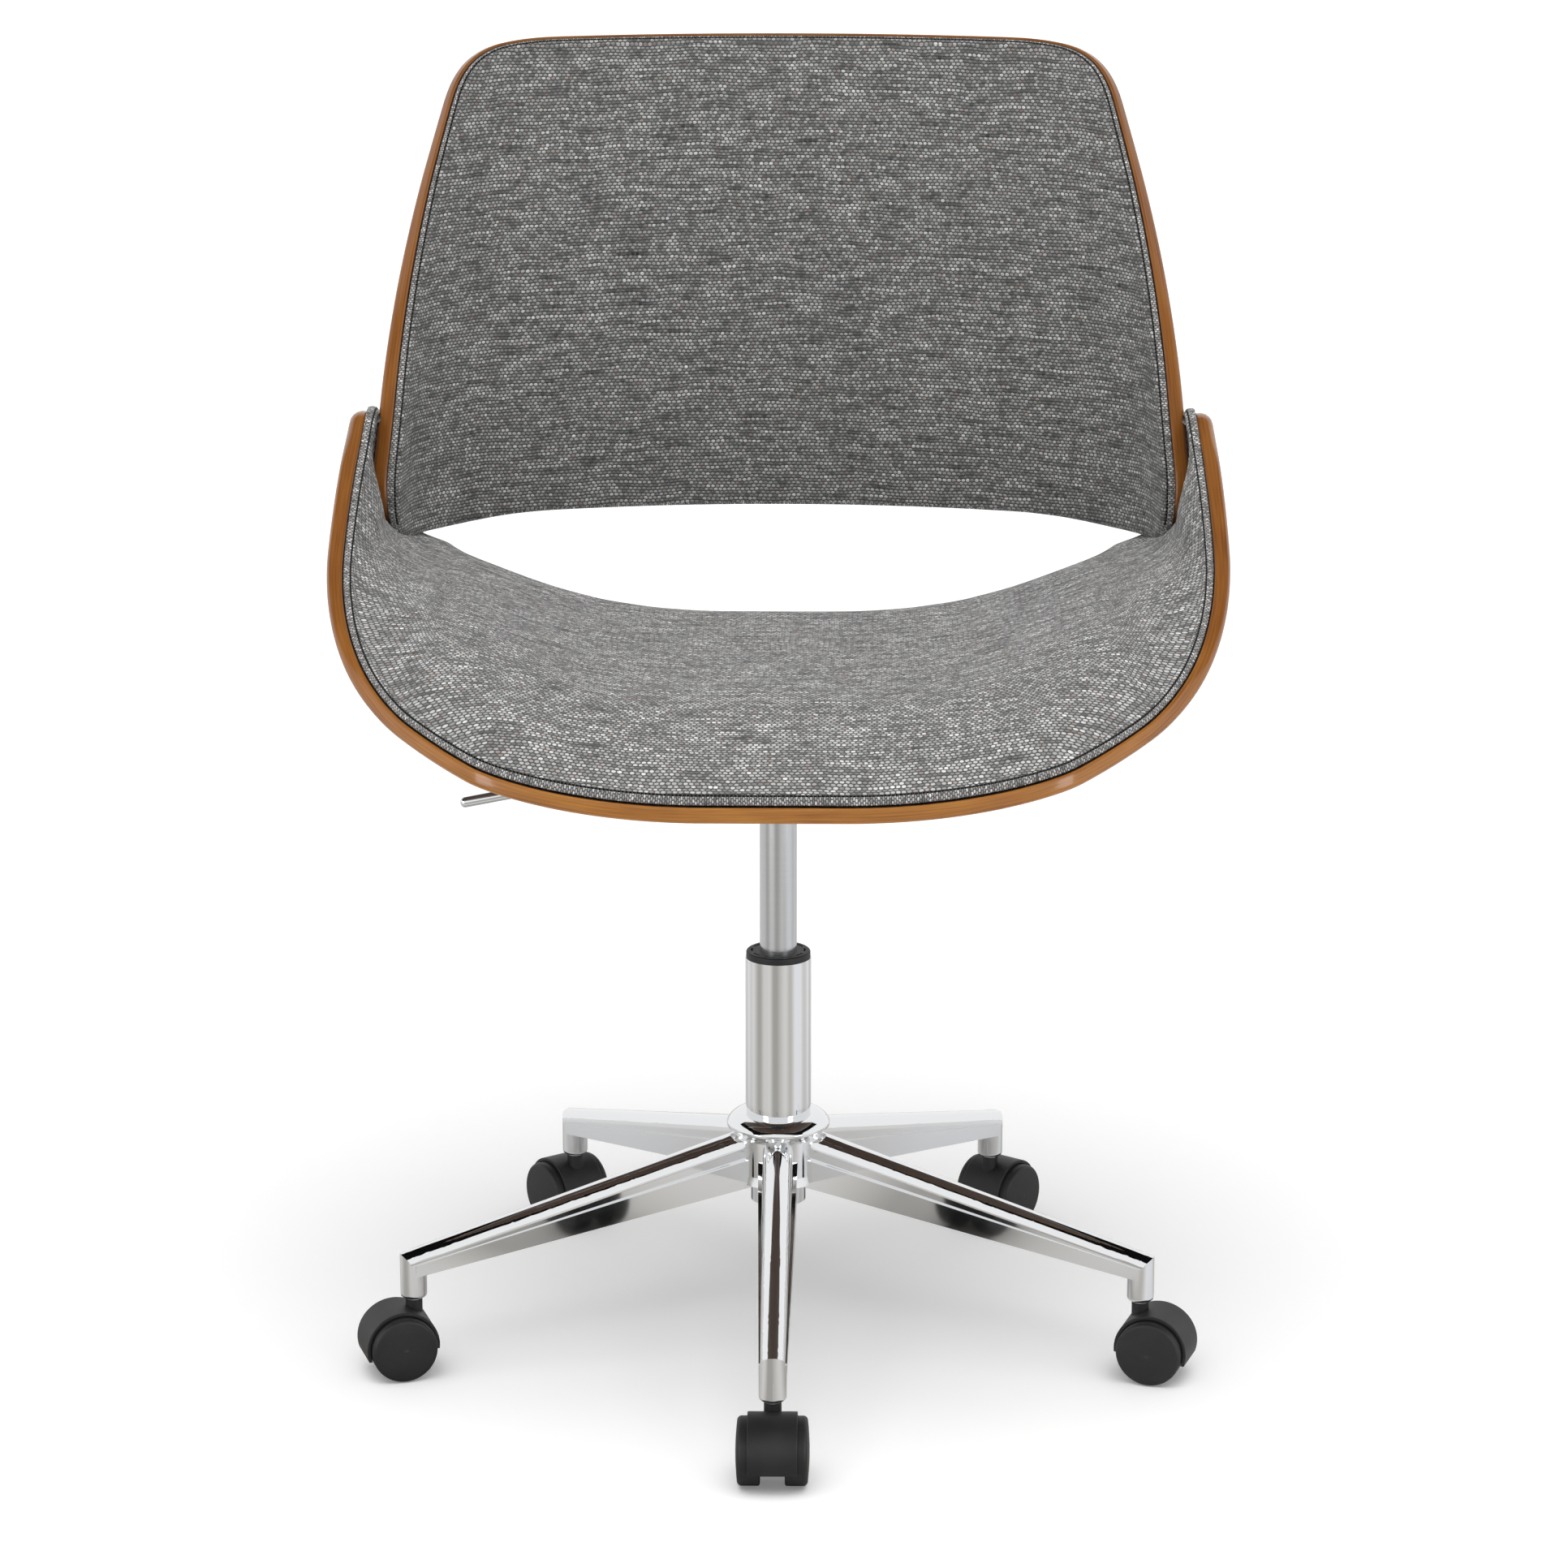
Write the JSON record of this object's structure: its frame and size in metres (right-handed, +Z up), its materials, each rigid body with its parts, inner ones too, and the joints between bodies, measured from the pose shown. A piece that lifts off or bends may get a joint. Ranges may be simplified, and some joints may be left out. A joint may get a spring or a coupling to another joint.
{
  "type": "swivel office chair",
  "caption": "Swivel office chair with a bent plywood bucket seat and wrap-around back, tweed pads, a gas lift with a release lever and a chrome star base on twin-wheel casters.",
  "frame": {"origin": "on the floor below the gas lift's axis", "axes": "+Z up, -Y the way the sitter faces, +X to the sitter's left"},
  "size_m": [0.6708, 0.6645, 0.9589],
  "materials": {
    "chrome": "polished chrome plate",
    "satin_steel": "ground satin",
    "steel": "zinc plated",
    "painted_plate": "black powder coat",
    "black_plastic": "fine matte grain",
    "rubber": "matte",
    "walnut_plywood": "clear satin lacquer on walnut veneer",
    "grey_tweed": "heathered basket weave"
  },
  "bodies": {
    "base": {"star_base": "chrome", "caster_sleeves": "steel", "outer_column": "chrome", "column_foot": "steel", "column_bush": "black_plastic", "bearing_lower_race": "steel", "bearing_balls": "steel"},
    "piston": {"piston_rod": "steel", "piston_head": "steel", "bearing_upper_race": "steel", "rubber_buffer": "rubber", "rod_clip": "steel"},
    "seat": {"pressure_tube": "satin_steel", "tube_gland": "black_plastic", "valve_plug": "steel", "seat_plate": "painted_plate", "lever_pivot_pin": "steel", "plate_bolts": "steel", "plate_tee_nuts": "steel", "seat_shell": "walnut_plywood", "seat_pad": "grey_tweed", "back_shell": "walnut_plywood", "back_pad": "grey_tweed", "flap_bolts": "steel", "flap_tee_nuts": "steel", "flap_spacers": "black_plastic"},
    "lever": {"release_lever": "chrome"},
    "pin": {"release_pin": "black_plastic"},
    "caster_1_wheel_a": {"caster_1_wheel_a": "black_plastic"},
    "caster_1_wheel_b": {"caster_1_wheel_b": "black_plastic"},
    "caster_1": {"caster_1_hood": "black_plastic", "caster_1_stem": "steel", "caster_1_axle": "steel"},
    "caster_2_wheel_a": {"caster_2_wheel_a": "black_plastic"},
    "caster_2_wheel_b": {"caster_2_wheel_b": "black_plastic"},
    "caster_2": {"caster_2_hood": "black_plastic", "caster_2_stem": "steel", "caster_2_axle": "steel"},
    "caster_3_wheel_a": {"caster_3_wheel_a": "black_plastic"},
    "caster_3_wheel_b": {"caster_3_wheel_b": "black_plastic"},
    "caster_3": {"caster_3_hood": "black_plastic", "caster_3_stem": "steel", "caster_3_axle": "steel"},
    "caster_4_wheel_a": {"caster_4_wheel_a": "black_plastic"},
    "caster_4_wheel_b": {"caster_4_wheel_b": "black_plastic"},
    "caster_4": {"caster_4_hood": "black_plastic", "caster_4_stem": "steel", "caster_4_axle": "steel"},
    "caster_5_wheel_a": {"caster_5_wheel_a": "black_plastic"},
    "caster_5_wheel_b": {"caster_5_wheel_b": "black_plastic"},
    "caster_5": {"caster_5_hood": "black_plastic", "caster_5_stem": "steel", "caster_5_axle": "steel"}
  },
  "joints": [
    {"name": "seat_swivel", "type": "hinge", "parent": "base", "child": "piston", "pos_m": [0, 0, 0.117], "axis": [0, 0, 1], "continuous": true},
    {"name": "height_slide", "type": "slide", "parent": "piston", "child": "seat", "axis": [0, 0, 1], "range_m": [-0.1, 0]},
    {"name": "lever_lift", "type": "hinge", "parent": "seat", "child": "lever", "pos_m": [-0.05, 0, 0.4583], "axis": [0, 1, 0], "range_deg": [0, 6]},
    {"name": "pin_press", "type": "slide", "parent": "seat", "child": "pin", "axis": [0, 0, -1], "range_m": [0, 0.0056]},
    {"name": "caster_1_swivel", "type": "hinge", "parent": "base", "child": "caster_1", "pos_m": [0, -0.288, 0.059], "axis": [0, 0, 1], "continuous": true},
    {"name": "caster_1_roll_a", "type": "hinge", "parent": "caster_1", "child": "caster_1_wheel_a", "pos_m": [0, -0.3005, 0.025], "axis": [1, 0, 0], "continuous": true},
    {"name": "caster_1_roll_b", "type": "hinge", "parent": "caster_1", "child": "caster_1_wheel_b", "pos_m": [0, -0.3005, 0.025], "axis": [1, 0, 0], "continuous": true},
    {"name": "caster_2_swivel", "type": "hinge", "parent": "base", "child": "caster_2", "pos_m": [0.2739, -0.089, 0.059], "axis": [0, 0, 1], "continuous": true},
    {"name": "caster_2_roll_a", "type": "hinge", "parent": "caster_2", "child": "caster_2_wheel_a", "pos_m": [0.28579, -0.09286, 0.025], "axis": [0.309, 0.9511, 0], "continuous": true},
    {"name": "caster_2_roll_b", "type": "hinge", "parent": "caster_2", "child": "caster_2_wheel_b", "pos_m": [0.28579, -0.09286, 0.025], "axis": [0.309, 0.9511, 0], "continuous": true},
    {"name": "caster_3_swivel", "type": "hinge", "parent": "base", "child": "caster_3", "pos_m": [0.16928, 0.233, 0.059], "axis": [0, 0, 1], "continuous": true},
    {"name": "caster_3_roll_a", "type": "hinge", "parent": "caster_3", "child": "caster_3_wheel_a", "pos_m": [0.17663, 0.24311, 0.025], "axis": [-0.809, 0.5878, 0], "continuous": true},
    {"name": "caster_3_roll_b", "type": "hinge", "parent": "caster_3", "child": "caster_3_wheel_b", "pos_m": [0.17663, 0.24311, 0.025], "axis": [-0.809, 0.5878, 0], "continuous": true},
    {"name": "caster_4_swivel", "type": "hinge", "parent": "base", "child": "caster_4", "pos_m": [-0.16928, 0.233, 0.059], "axis": [0, 0, 1], "continuous": true},
    {"name": "caster_4_roll_a", "type": "hinge", "parent": "caster_4", "child": "caster_4_wheel_a", "pos_m": [-0.17663, 0.24311, 0.025], "axis": [-0.809, -0.5878, 0], "continuous": true},
    {"name": "caster_4_roll_b", "type": "hinge", "parent": "caster_4", "child": "caster_4_wheel_b", "pos_m": [-0.17663, 0.24311, 0.025], "axis": [-0.809, -0.5878, 0], "continuous": true},
    {"name": "caster_5_swivel", "type": "hinge", "parent": "base", "child": "caster_5", "pos_m": [-0.2739, -0.089, 0.059], "axis": [0, 0, 1], "continuous": true},
    {"name": "caster_5_roll_a", "type": "hinge", "parent": "caster_5", "child": "caster_5_wheel_a", "pos_m": [-0.28579, -0.09286, 0.025], "axis": [0.309, -0.9511, 0], "continuous": true},
    {"name": "caster_5_roll_b", "type": "hinge", "parent": "caster_5", "child": "caster_5_wheel_b", "pos_m": [-0.28579, -0.09286, 0.025], "axis": [0.309, -0.9511, 0], "continuous": true}
  ],
  "couplings": [
    {"joint": "pin_press", "follows": "lever_lift", "m_per_rad": 0.0525}
  ]
}
